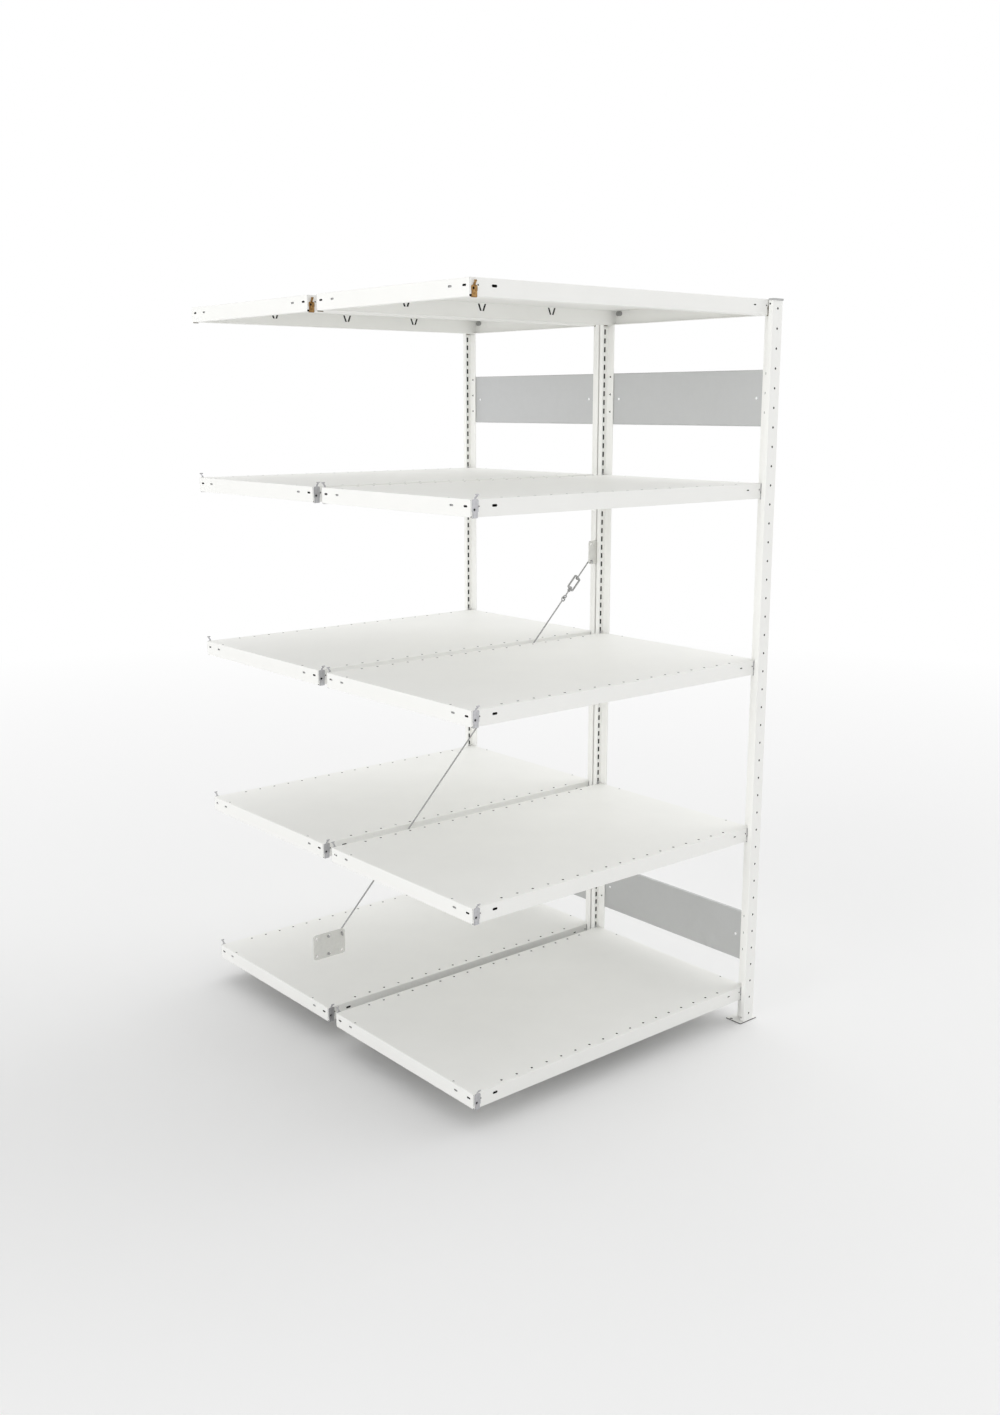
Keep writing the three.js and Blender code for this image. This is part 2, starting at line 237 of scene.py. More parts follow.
def combine(shape, tool, operation):
    # joins or cuts two shapes; each may hold several closed bodies, and a face keeps its material's number
    objects = []
    for part in (shape, tool):
        mesh = bpy.data.meshes.new("part")
        part.to_mesh(mesh)
        part.free()
        for number in range(3):
            mesh.materials.append(None)  # empty slots keep the faces' numbers
        holder = bpy.data.objects.new("part", mesh)
        bpy.context.scene.collection.objects.link(holder)
        objects.append(holder)
    modifier = objects[0].modifiers.new("combine", "BOOLEAN")
    modifier.operation = operation
    modifier.solver = "EXACT"
    modifier.object = objects[1]
    bpy.context.view_layer.update()
    result = bmesh.new()
    result.from_mesh(objects[0].evaluated_get(bpy.context.evaluated_depsgraph_get()).data)
    for holder in objects:
        mesh = holder.data
        bpy.data.objects.remove(holder)
        bpy.data.meshes.remove(mesh)
    bmesh.ops.remove_doubles(result, verts=result.verts[:], dist=samePoint * mm)
    return result


def place(name, mesh, where, body="frame", stands=(), turn=None):
    piece = bpy.data.objects.new(name, mesh)
    bpy.context.scene.collection.objects.link(piece)
    piece.matrix_world = Matrix.Translation(where) @ (turn or Matrix())
    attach(piece, body)
    if stands:
        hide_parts(*stands)
    return piece


# Material helpers

def toLinear(colour):
    parts = [int(colour[i:i + 2], 16) / 255 for i in (1, 3, 5)]
    return [p / 12.92 if p <= 0.04045 else ((p + 0.055) / 1.055) ** 2.4 for p in parts] + [1.0]


def addNode(tree, kind, settings=None, links=None):
    node = tree.nodes.new(kind)
    for key, value in (settings or {}).items():
        if key in node.inputs:
            node.inputs[key].default_value = value
        else:
            setattr(node, key, value)
    for key, source in (links or {}).items():
        tree.links.new(source, node.inputs[key])
    return node


def newMaterial(name):
    material = bpy.data.materials.new(name)
    material.use_nodes = True
    tree = material.node_tree
    tree.nodes.clear()
    output = addNode(tree, "ShaderNodeOutputMaterial")
    coords = addNode(tree, "ShaderNodeTexCoord").outputs["Object"]
    return material, tree, output, coords


def blendColours(tree, factor, low, high):
    # from one colour to another as a pattern's value rises
    ramp = addNode(tree, "ShaderNodeValToRGB", links={"Fac": factor})
    ramp.color_ramp.elements[0].position = 0.3
    ramp.color_ramp.elements[1].position = 0.7
    ramp.color_ramp.elements[0].color = toLinear(low)
    ramp.color_ramp.elements[1].color = toLinear(high)
    return ramp.outputs["Color"]


def spread(tree, factor, low, high):
    # turns a pattern's value into a range, for roughness
    settings = {"From Min": 0.3, "From Max": 0.7, "To Min": low, "To Max": high}
    return addNode(tree, "ShaderNodeMapRange", settings, {"Value": factor}).outputs["Result"]


# White powder coat on steel: baked polyester powder, so a satin film with a fine orange peel
powderCoat = {
    "light": "#f9f9f6", "dark": "#f6f6f3", "rough": (0.42, 0.50), "ior": 1.5, "specular": 0.3,
    "peelWidth": 1.6, "peelDepth": 0.02, "peelStrength": 0.35, "filmPatch": 180,
}


def makePowderCoat():
    look = powderCoat
    material, tree, output, coords = newMaterial("whitePowderCoat")
    patch = addNode(tree, "ShaderNodeTexNoise", {
        "Scale": 1 / (look["filmPatch"] * mm), "Detail": 3.0, "Roughness": 0.6,
    }, {"Vector": coords})
    peel = addNode(tree, "ShaderNodeTexNoise", {
        "Scale": 1 / (look["peelWidth"] * mm), "Detail": 2.0, "Roughness": 0.5,
    }, {"Vector": coords})
    bump = addNode(tree, "ShaderNodeBump", {
        "Strength": look["peelStrength"], "Distance": look["peelDepth"] * mm,
    }, {"Height": peel.outputs["Fac"]})
    shader = addNode(tree, "ShaderNodeBsdfPrincipled", {
        "Metallic": 0.0, "IOR": look["ior"], "Specular IOR Level": look["specular"],
    }, {
        "Base Color": blendColours(tree, patch.outputs["Fac"], look["dark"], look["light"]),
        "Roughness": spread(tree, patch.outputs["Fac"], *look["rough"]),
        "Normal": bump.outputs["Normal"],
    })
    tree.links.new(shader.outputs["BSDF"], output.inputs["Surface"])
    return material


# Hot-dip galvanised sheet, skin passed: soft grey with a faint spangle of crystals
galvanisedSheet = {
    "light": "#c6c7c7", "dark": "#c4c5c5", "metallic": 0.8, "rough": (0.46, 0.56),
    "spangle": 14, "rollLine": 0.8, "lineDepth": 0.01, "lineStrength": 0.15,
}


def makeGalvanisedSheet():
    look = galvanisedSheet
    material, tree, output, coords = newMaterial("galvanisedSheet")
    crystals = addNode(tree, "ShaderNodeTexVoronoi", {
        "feature": "F1", "Scale": 1 / (look["spangle"] * mm), "Randomness": 1.0,
    }, {"Vector": coords})
    tone = addNode(tree, "ShaderNodeRGBToBW", links={"Color": crystals.outputs["Color"]})
    stretch = addNode(tree, "ShaderNodeMapping", {"Scale": (1, 0.02, 1)}, {"Vector": coords})
    lines = addNode(tree, "ShaderNodeTexNoise", {
        "Scale": 1 / (look["rollLine"] * mm), "Detail": 2.0,
    }, {"Vector": stretch.outputs["Vector"]})
    bump = addNode(tree, "ShaderNodeBump", {
        "Strength": look["lineStrength"], "Distance": look["lineDepth"] * mm,
    }, {"Height": lines.outputs["Fac"]})
    shader = addNode(tree, "ShaderNodeBsdfPrincipled", {"Metallic": look["metallic"]}, {
        "Base Color": blendColours(tree, tone.outputs["Val"], look["dark"], look["light"]),
        "Roughness": spread(tree, tone.outputs["Val"], *look["rough"]),
        "Normal": bump.outputs["Normal"],
    })
    tree.links.new(shader.outputs["BSDF"], output.inputs["Surface"])
    return material


# What the platings and the bare steel share: soft clouds of colour over a fine grain
platingGrain = {"depth": 0.01, "strength": 0.2}


def makePlating(name, look):
    material, tree, output, coords = newMaterial(name)
    cloud = addNode(tree, "ShaderNodeTexNoise", {
        "Scale": 1 / (look["cloud"] * mm), "Detail": 4.0, "Roughness": 0.6,
    }, {"Vector": coords})
    grain = addNode(tree, "ShaderNodeTexNoise", {
        "Scale": 1 / (look["grain"] * mm), "Detail": 2.0,
    }, {"Vector": coords})
    bump = addNode(tree, "ShaderNodeBump", {
        "Strength": platingGrain["strength"], "Distance": platingGrain["depth"] * mm,
    }, {"Height": grain.outputs["Fac"]})
    shader = addNode(tree, "ShaderNodeBsdfPrincipled", {"Metallic": look["metallic"]}, {
        "Base Color": blendColours(tree, cloud.outputs["Fac"], look["dark"], look["light"]),
        "Roughness": spread(tree, grain.outputs["Fac"], *look["rough"]),
        "Normal": bump.outputs["Normal"],
    })
    tree.links.new(shader.outputs["BSDF"], output.inputs["Surface"])
    return material


# Bright zinc electroplating on stamped and bent steel: bluish silver, slightly streaked
brightZinc = {
    "light": "#c9c9cc", "dark": "#b4b4b7", "metallic": 0.85, "rough": (0.32, 0.45), "cloud": 9, "grain": 1.2,
}
# Drawn rod keeps a darker, plain grey under the same plating
rodZinc = {
    "light": "#b3b3b3", "dark": "#a1a1a1", "metallic": 0.85, "rough": (0.36, 0.48), "cloud": 9, "grain": 1.2,
}
# Thick galvanised plate: the palest and dullest of the zinc finishes
plateZinc = {
    "light": "#dfdfdb", "dark": "#d7d7d3", "metallic": 0.7, "rough": (0.46, 0.56), "cloud": 11, "grain": 1.2,
}
# Yellow chromate over zinc: a golden film that turns brown where it is thick
yellowChromate = {
    "light": "#c39a62", "dark": "#6c4e2b", "metallic": 0.8, "rough": (0.34, 0.48), "cloud": 7, "grain": 1.2,
}
# The same chromate where the bath left it thickest: olive brown and nearly matt
# A darker olive-brown, nearly matt copy of the chromate: painted shade for the top clips that sit in shadow against
# the posts and between the units
chromateInShade = {
    "light": "#6f6038", "dark": "#453a1f", "metallic": 0.6, "rough": (0.42, 0.55), "cloud": 7, "grain": 1.2,
}

# Moulded grey polypropylene: matt, with a light spark-eroded grain
greyPolypropylene = {
    "light": "#bcbdbc", "dark": "#b2b3b2", "rough": (0.5, 0.6), "ior": 1.49,
    "grain": 0.7, "grainDepth": 0.03, "grainStrength": 0.3,
}


def makePolypropylene():
    look = greyPolypropylene
    material, tree, output, coords = newMaterial("greyPolypropylene")
    grain = addNode(tree, "ShaderNodeTexNoise", {
        "Scale": 1 / (look["grain"] * mm), "Detail": 3.0,
    }, {"Vector": coords})
    bump = addNode(tree, "ShaderNodeBump", {
        "Strength": look["grainStrength"], "Distance": look["grainDepth"] * mm,
    }, {"Height": grain.outputs["Fac"]})
    shader = addNode(tree, "ShaderNodeBsdfPrincipled", {"Metallic": 0.0, "IOR": look["ior"]}, {
        "Base Color": blendColours(tree, grain.outputs["Fac"], look["dark"], look["light"]),
        "Roughness": spread(tree, grain.outputs["Fac"], *look["rough"]),
        "Normal": bump.outputs["Normal"],
    })
    tree.links.new(shader.outputs["BSDF"], output.inputs["Surface"])
    return material


# Inside the closed sections, on hole walls and on the foot plates' edges: near-black steel, painted shade for the
# dark in those hollows and along those edges
paintedShadeLook = {
    "light": "#302f2d", "dark": "#242322", "metallic": 0.0, "rough": (0.6, 0.75), "cloud": 12, "grain": 1.5,
}

whitePaint = makePowderCoat()
# near-black material: painted shade in hollows, holes and on edges
paintedShadeSteel = makePlating("paintedShadeMillSteel", paintedShadeLook)
zincSheet = makeGalvanisedSheet()
zincPlating = makePlating("brightZincPlating", brightZinc)
yellowPlating = makePlating("yellowChromatePlating", yellowChromate)
# olive copy of the chromate: painted shade
chromateShadePlating = makePlating("chromatePaintedShade", chromateInShade)
rodPlating = makePlating("drawnRodZinc", rodZinc)
plateFinish = makePlating("galvanisedPlate", plateZinc)
capPlastic = makePolypropylene()
print("materials made")


# Posts: a hollow head with round holes in front and slots in its lips, and a double web behind
post = {
    "width": 40, "depth": 40, "head": 15, "sheet": 1.5, "web": 3, "webCorner": 0.7, "bend": 2.2,
    "seam": 0.24, "seamDepth": 1.4,
    "boltHole": 6, "boltPitch": 50, "firstBolt": 25,
    "slotWidth": 6, "slotHeight": 15, "slotCorner": 1.6, "slotPitch": 25, "firstSlot": 15, "slotAside": 13.25,
    "sideHole": 5, "sideHoleFromEnd": 13.5, "sideHoleDepth": 9.5,
    "markDepth": 27, "markSize": 7, "markDeep": 1.2, "marksUp": (36, 86, 136),
}


def makePost(low, high, height, panelLows):
    w = post["width"] / 2
    web = post["web"] / 2
    seam = post["seam"] / 2
    head = post["head"]
    depth = post["depth"]
    t = post["sheet"]
    bend = post["bend"]
    edge = post["webCorner"]
    outline = roundCorners([
        (-w, 0, bend), (w, 0, bend), (w, head, bend), (web, head, t), (web, depth, edge),
        (seam, depth, 0), (seam, depth - post["seamDepth"], 0), (-seam, depth - post["seamDepth"], 0),
        (-seam, depth, 0), (-web, depth, edge), (-web, head, t), (-w, head, bend),
    ])
    hollow = rectangle(-w + t, t, w - t, head - t, bend - t)
    shape = bmesh.new()
    addPrism(shape, outline, low, high, holes=[hollow])
    tool = bmesh.new()
    # the walls of the holes and slots and the bottoms of the blind marks take the near-black: painted shade
    for k in range(int((height - post["firstBolt"]) / post["boltPitch"]) + 1):
        z = post["firstBolt"] + k * post["boltPitch"]
        addPrism(tool, circle(0, z, post["boltHole"]), -past, t + past, "xz", material=paintedShade)
    for k in range(int((height - post["firstSlot"]) / post["slotPitch"]) + 1):
        z = post["firstSlot"] + k * post["slotPitch"]
        for side in (-1, 1):
            x = side * post["slotAside"]
            across = post["slotWidth"] / 2
            up = post["slotHeight"] / 2
            opening = rectangle(x - across, z - up, x + across, z + up, post["slotCorner"], 3)
            addPrism(tool, opening, head - t - past, head + past, "xz", material=paintedShade)
    for z in (post["sideHoleFromEnd"], height - post["sideHoleFromEnd"]):
        hole = circle(post["sideHoleDepth"], z, post["sideHole"])
        addPrism(tool, hole, -w - past, w + past, "yz", material=paintedShade)
    for panelLow in panelLows:
        for up in post["marksUp"]:
            y = post["markDepth"]
            z = panelLow + up
            s = post["markSize"] / 2
            mark = [(y - s, z), (y + s, z - s), (y + s, z + s)]
            for side in (-1, 1):
                bottom, mouth = sorted((side * (web - post["markDeep"]), side * (web + past)))
                addPrism(tool, mark, bottom, mouth, "yz", material=paintedShade)
    shape = combine(shape, tool, "DIFFERENCE")
    # the inside of the hollow head is near-black, painted shade
    shadeInside(shape, (-w + t - slack, t - slack, low), (w - t + slack, head - t + slack, high))
    return finished(shape, "post", [whitePaint, paintedShadeSteel])


def corners(node):
    low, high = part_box(node)
    return low / mm, high / mm


postLow, postHigh = corners("post_front_outer")
panelLows = [corners(f"end_panel_front_{level}")[0].z for level in ("lower", "upper")]
rackHeight = cadBounds[1][2] / mm
postMesh = makePost(postLow.z, postHigh.z, rackHeight, panelLows)


# Foot plate under each post, with a hole at each side for floor anchors; its side faces and hole walls are
# near-black, painted shade along its edges and in its holes
foot = {
    "length": 70, "depth": 55, "overhang": 0.5, "corner": 2.5, "softened": 0.3,
    "hole": 9, "holeFromSide": 5, "holeFromFace": 38.5,
}


def makeFoot(thickness):
    x = foot["length"] / 2
    outline = rectangle(-x, -foot["overhang"], x, foot["depth"] - foot["overhang"], foot["corner"])
    aside = x - foot["holeFromSide"]
    holes = [circle(side * aside, foot["holeFromFace"], foot["hole"], 24) for side in (-1, 1)]
    shape = bmesh.new()
    addPrism(shape, outline, 0, thickness, holes=holes)
    # side faces and hole walls take the near-black: painted shade
    for face in shape.faces:
        if abs(face.normal.z) < 0.5:
            face.material_index = paintedShade
    return finished(shape, "footPlate", [whitePaint, paintedShadeSteel], foot["softened"])


footMesh = makeFoot(corners("foot_plate_front_outer")[1].z)


# Moulded cap on each post's head
cap = {"wall": 1.2, "gap": 0.3, "corner": 2.4, "skirt": 2, "roof": 3, "softened": 0.5, "openPast": 5}


def makeCap(top):
    out = post["width"] / 2 + cap["gap"] + cap["wall"]
    front = -cap["gap"] - cap["wall"]
    roofLow = top - cap["roof"]
    shape = bmesh.new()
    addPrism(shape, rectangle(-out, front, out, post["head"], cap["corner"]), roofLow - cap["skirt"], top)
    tool = bmesh.new()
    wall = cap["wall"]
    far = post["head"] + cap["openPast"]  # far enough for the round corners to cut nothing there
    pocket = rectangle(-out + wall, front + wall, out - wall, far, cap["corner"] - wall)
    addPrism(tool, pocket, roofLow - cap["skirt"] - past, roofLow)
    return finished(combine(shape, tool, "DIFFERENCE"), "postCap", [capPlastic], cap["softened"])


capMesh = makeCap(corners("post_cap_front_outer")[1].z)

for unit in ("front", "rear"):
    for edge in ("outer", "inner"):
        node = f"post_{unit}_{edge}"
        low, high = corners(node)
        facesBack = (unit == "rear") == (edge == "outer")
        face = Vector(((low.x + high.x) / 2, high.y if facesBack else low.y, 0)) * mm
        turn = halfTurn if facesBack else None
        tag = unit.capitalize() + edge.capitalize()
        place("post" + tag, postMesh, face, stands=[node], turn=turn)
        place("footPlate" + tag, footMesh, face, stands=[f"foot_plate_{unit}_{edge}"], turn=turn)
        place("postCap" + tag, capMesh, face, stands=[f"post_cap_{unit}_{edge}"], turn=turn)
print("posts made:", len(postMesh.polygons), "faces each")


# Shelves: a folded tray with box edges along its long sides, holes in rows and slots in its flanges.
# A pad closes the inner oval of each pair from behind, with its grey bottom as painted shade seen through the oval,
# and a pressed boss stands between the two
shelf = {
    "sheet": 1, "bend": 1.8, "longLip": 30, "shortLip": 15,
    "rowFromEdge": 15, "rowPitch": 50, "rowHoles": 17, "rowHole": 6.5,
    "endHole": 5.5, "endHoleIn": 5.5, "endHoleAside": 214,
    "clipFromEnd": 10.75, "clipHole": 8, "clipHoleAt": (-2.8, -23),
    "slotFromEnd": 67.5, "slotBelow": 16, "slots": {-1: (15, 6), 1: (9, 3)},
    "flangeHole": 4, "flangeHoleFromEnd": 22,
    "ovalLength": 13, "ovalHeight": 4.8, "ovalsAside": (280, 230), "padLength": 24, "padHeight": 14, "pad": 1.2,
    "bossAside": 255, "bossBelow": 9, "bossLength": 23, "bossHeight": 13, "boss": 2.5,
    "relief": 1.4, "reliefBelow": 1.2, "slit": 0.5, "slitFromLow": 6, "slitFromTop": 2,
    "notch": 4.5, "cornerCut": (5, 3, 4.5), "mouthInside": 0.5, "holeDeep": 0.6, "through": 0.5,
    "veeAt": (-250, 0, 250), "veeTop": 3, "veeLow": 21.5, "veeTopHalf": 11.5, "veeLowHalf": 4, "veeWidth": 5.6,
}


def makeTray(length, depth, height):
    # the folded sheet alone, open below between its lips
    x = length / 2
    y = depth / 2
    t = shelf["sheet"]
    low = -height + t
    lip = y - shelf["longLip"]
    shape = bmesh.new()
    bmesh.ops.create_cube(shape, size=1)
    for vert in shape.verts:
        vert.co = Vector((vert.co.x * length, vert.co.y * depth, (vert.co.z - 0.5) * height)) * mm
    bmesh.ops.bevel(
        shape, geom=shape.edges[:], offset=shelf["bend"] * mm, offset_type="OFFSET", segments=4,
        profile=0.5, affect="EDGES",
    )
    tool = bmesh.new()
    for near, far in ((-y + t, -lip - t), (-lip, lip), (lip + t, y - t)):
        addPrism(tool, rectangle(near, low, far, -t), -x + t, x - t, "yz")
    mouth = bmesh.new()
    across = x - shelf["shortLip"]
    along = lip - shelf["mouthInside"]
    addPrism(mouth, rectangle(-across, -along, across, along), -height - past, low + past)
    return combine(combine(shape, tool, "DIFFERENCE"), mouth, "DIFFERENCE")


def addPads(pads, x, side, end):
    # the pad and the boss at one end of a short flange
    t = shelf["sheet"]
    inner, outer = sorted((end * (x - t - shelf["pad"]), end * (x - t / 2)))
    pad = slot(side * shelf["ovalsAside"][1], -shelf["slotBelow"], shelf["padLength"], shelf["padHeight"])
    addPrism(pads, pad, inner, outer, "yz")
    inner, outer = sorted((end * (x - t - shelf["boss"]), end * (x - t / 2)))
    boss = slot(side * shelf["bossAside"], -shelf["bossBelow"], shelf["bossLength"], shelf["bossHeight"])
    addPrism(pads, boss, inner, outer, "yz", material=platingAndShade)


def addRow(tool, y, side):
    # the row of small holes along one long edge
    for k in range(shelf["rowHoles"]):
        across = (k - (shelf["rowHoles"] - 1) / 2) * shelf["rowPitch"]
        hole = circle(across, side * (y - shelf["rowFromEdge"]), shelf["rowHole"])
        # hole walls are near-black, painted shade
        addPrism(tool, hole, -shelf["sheet"] - shelf["holeDeep"], past, material=paintedShade)


def addCornerCuts(tool, x, y, height, side, end, isTop):
    # all that is cut near one corner: in the top, the long flange, the short flange and the fold between them
    t = shelf["sheet"]
    # the walls of these holes, slots and slits are near-black, painted shade
    hole = circle(end * (x - shelf["endHoleIn"]), side * shelf["endHoleAside"], shelf["endHole"])
    addPrism(tool, hole, -t - shelf["holeDeep"], past, material=paintedShade)

    inside, outside = sorted((side * (y - t - shelf["through"]), side * (y + past)))
    oval = slot(end * (x - shelf["slotFromEnd"]), -shelf["slotBelow"], *shelf["slots"][end])
    addPrism(tool, oval, inside, outside, "xz", material=paintedShade)
    hole = circle(end * (x - shelf["flangeHoleFromEnd"]), -shelf["slotBelow"], shelf["flangeHole"])
    addPrism(tool, hole, inside, outside, "xz", material=paintedShade)
    across, below = shelf["clipHoleAt"]
    hole = circle(end * (x - shelf["clipFromEnd"]) - side * across, below, shelf["clipHole"])
    addPrism(tool, hole, inside, outside, "xz", material=paintedShade)

    inner, outer = sorted((end * (x - t - shelf["through"]), end * (x + past)))
    blind = sorted((end * (x - t - shelf["pad"] / 2), end * (x + past)))
    # the inner oval is cut blind into its pad; its grey walls and bottom are painted shade in place of the view
    # through the hole
    for aside, deep, lining in zip(shelf["ovalsAside"], ((inner, outer), blind), (paintedShade, platingAndShade)):
        oval = slot(side * aside, -shelf["slotBelow"], shelf["ovalLength"], shelf["ovalHeight"])
        addPrism(tool, oval, *deep, "yz", material=lining)

    s = shelf["slit"] / 2
    corner = side * (y - t - s)
    slit = rectangle(corner - s, -height + shelf["slitFromLow"], corner + s, -t - shelf["slitFromTop"])
    addPrism(tool, slit, inner, outer, "yz", material=paintedShade)
    relief = circle(corner, -t - shelf["reliefBelow"], shelf["relief"], 10)
    addPrism(tool, relief, inner, outer, "yz", material=paintedShade)
    if isTop:
        along, deep, tall = shelf["cornerCut"]
        x0, x1 = sorted((end * (x - along), end * (x + past)))
        y0, y1 = sorted((side * (y - deep), side * (y + past)))
        addPrism(tool, rectangle(x0, y0, x1, y1), -height - past, -height + tall, material=paintedShade)
    else:
        n = shelf["notch"]
        out = corner + side * past
        notch = [(out, -height - past), (corner - side * n, -height - past), (out, -height + n)]
        addPrism(tool, notch, inner, outer, "yz")


def addVees(tool, lip, side):
    # the pairs of leaning slits in one inner lip
    inside, outside = sorted((side * (lip - shelf["through"]), side * (lip + shelf["sheet"] + shelf["through"])))
    w = shelf["veeWidth"] / 2
    for middle in shelf["veeAt"]:
        for lean in (-1, 1):
            top = middle + lean * shelf["veeTopHalf"]
            bottom = middle + lean * shelf["veeLowHalf"]
            vee = [(top - w, -shelf["veeTop"]), (top + w, -shelf["veeTop"]),
                   (bottom + w, -shelf["veeLow"]), (bottom - w, -shelf["veeLow"])]
            addPrism(tool, vee, inside, outside, "xz", material=paintedShade)


def makeShelf(length, depth, height, isTop):
    x = length / 2
    y = depth / 2
    t = shelf["sheet"]
    lip = y - shelf["longLip"]
    shape = makeTray(length, depth, height)
    pads = bmesh.new()
    tool = bmesh.new()
    for side in (-1, 1):
        for end in (-1, 1):
            addPads(pads, x, side, end)
    for side in (-1, 1):
        addRow(tool, y, side)
        for end in (-1, 1):
            addCornerCuts(tool, x, y, height, side, end, isTop)
        addVees(tool, lip, side)
    shape = combine(combine(shape, pads, "UNION"), tool, "DIFFERENCE")
    # the inside of each box edge is painted near-black, as shade
    for side in (-1, 1):
        inside, outside = sorted((side * (lip + t / 2), side * (y - t + slack)))
        shadeInside(shape, (-x + t - slack, inside, -height + t - slack), (x - t + slack, outside, -t + slack))
    return finished(shape, "shelf", [whitePaint, paintedShadeSteel, rodPlating])


shelfLow, shelfHigh = corners("shelf_front_1")
shelfSize = shelfHigh - shelfLow
shelfMeshes = {isTop: makeShelf(*shelfSize, isTop) for isTop in (False, True)}
for unit in ("front", "rear"):
    for level in range(1, 6):
        node = f"shelf_{unit}_{level}"
        low, high = corners(node)
        where = Vector(((low.x + high.x) / 2, (low.y + high.y) / 2, high.z)) * mm
        place(f"shelf{unit.capitalize()}{level}", shelfMeshes[level == 5], where, node, [node])
print("shelves made:", len(shelfMeshes[True].polygons), "faces each")


# Clips: stamped from 1.6 mm strip, with a foot under the shelf and a leaning tongue with a T head
clip = {
    "sheet": 1.6, "low": -42, "foot": 3.5, "footUp": 5, "footBend": 1.6, "edge": 0.4,
    "hole": 6, "holeAt": (-2.8, -23), "fromEnd": 10.75, "gap": 0.4,
    "kinds": {
        "standard": {
            "width": 18, "narrowing": 2.1, "shoulder": -1, "neckHalf": 2.2, "hookTop": 12, "lean": 7, "headHalf": 5,
        },
        "top": {
            "width": 16.5, "narrowing": 1.1, "shoulder": -17.5, "neckHalf": 2.6, "hookTop": -6, "lean": 4,
            "headHalf": 3.4,
        },
    },
    "hiddenWidth": 13, "narrowFrom": -26.5, "narrowTo": -29.5, "narrowCorner": 1,
    "shoulderCorner": 3.6, "neckUp": 1.5, "neckCorner": 1.2,
    "bendBelowHook": 8.5, "tongueRoot": 2, "headHeight": 3, "headCorner": 0.8,
    # what is joined to the plate is this much slimmer, so that no two faces of them lie in one plane
    "step": 0.03, "plateAboveFoot": 2.2,
}


def makeClip(kind, end, material):
    sizes = clip["kinds"][kind]
    w = (sizes["width"] if end == "left" else clip["hiddenWidth"]) / 2
    lowHalf = w - sizes["narrowing"]
    shoulder = sizes["shoulder"]
    hookTop = sizes["hookTop"]
    lean = sizes["lean"]
    n = sizes["neckHalf"]
    t = clip["sheet"]
    low = clip["low"]
    s = clip["step"]
    edge = clip["edge"]
    bend = hookTop - clip["bendBelowHook"]
    plateLow = low + clip["plateAboveFoot"]
    neck = shoulder + clip["neckUp"]
    r = clip["narrowCorner"]
    outline = roundCorners([
        (-lowHalf, plateLow, 0), (lowHalf, plateLow, 0), (lowHalf, clip["narrowTo"], r), (w, clip["narrowFrom"], r),
        (w, shoulder, clip["shoulderCorner"]), (n, neck, clip["neckCorner"]), (n, bend, 0),
        (-n, bend, 0), (-n, neck, clip["neckCorner"]), (-w, shoulder, clip["shoulderCorner"]),
        (-w, clip["narrowFrom"], r), (-lowHalf, clip["narrowTo"], r),
    ])
    plate = bmesh.new()
    addPrism(plate, outline, -t, 0, "xz", [circle(*clip["holeAt"], clip["hole"], 20)])
    foot = bmesh.new()
    section = roundCorners([
        (-t + s, low, clip["footBend"]), (clip["foot"], low, edge), (clip["foot"], low + t, edge),
        (-s, low + t, edge), (-s, low + clip["footUp"], 0), (-t + s, low + clip["footUp"], 0),
    ])
    addPrism(foot, section, -lowHalf + s, lowHalf - s, "yz")
    tongue = bmesh.new()
    root = bend - clip["tongueRoot"]
    upright = hookTop - clip["headHeight"]
    section = roundCorners([
        (-s, root, 0), (-s, bend, 1.2), (-lean, upright, 1.2), (-lean, hookTop - s, edge),
        (-lean - t, hookTop - s, edge), (-lean - t, upright - 1, 2), (-t + s, bend - 1, 1), (-t + s, root, 0),
    ])
    addPrism(tongue, section, -n + s, n - s, "yz")
    head = bmesh.new()
    outline = rectangle(-sizes["headHalf"], upright, sizes["headHalf"], hookTop, clip["headCorner"])
    addPrism(head, outline, -lean - t + s, -lean - s, "xz")
    shape = combine(plate, foot, "UNION")
    shape = combine(shape, tongue, "UNION")
    shape = combine(shape, head, "UNION")
    return finished(shape, kind + "Clip", [material])


def clipFinish(kind, end, facesBack):
    # the top clips that face forwards at the left take the golden film; the others take its olive copy, painted
    # shade for where they sit in shadow
    if kind == "standard":
        return zincPlating
    return yellowPlating if end == "left" and not facesBack else chromateShadePlating


clipMeshes = {}
for kind in clip["kinds"]:
    for end in ("left", "right"):
        for facesBack in (False, True):
            clipMeshes[kind, end, facesBack] = makeClip(kind, end, clipFinish(kind, end, facesBack))
clipCount = 0
for unit in ("front", "rear"):
    for level in range(1, 6):
        low, high = corners(f"shelf_{unit}_{level}")
        for edge in ("outer", "inner"):
            facesBack = (unit == "rear") == (edge == "outer")
            y = high.y + clip["gap"] if facesBack else low.y - clip["gap"]
            for end, x in (("left", low.x + clip["fromEnd"]), ("right", high.x - clip["fromEnd"])):
                node = f"clip_{unit}_{level}_{end}_{edge}"
                name = f"clip{unit.capitalize()}{level}{end.capitalize()}{edge.capitalize()}"
                where = Vector((x, y, high.z)) * mm
                kind, slotName = ("top", "yellow_zinc") if level == 5 else ("standard", "zinc_plated")
                stands = [node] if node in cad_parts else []
                turn = halfTurn if facesBack else None
                place(name, clipMeshes[kind, end, facesBack], where, "frame", stands, turn)
                clipCount += 1
print("clips made:", clipCount)


# End panels: sheet with its long edges folded outwards, between the posts of each unit
panel = {"sheet": 1, "fold": 8, "bend": 3.2, "hole": 7, "holeIn": 45.5}


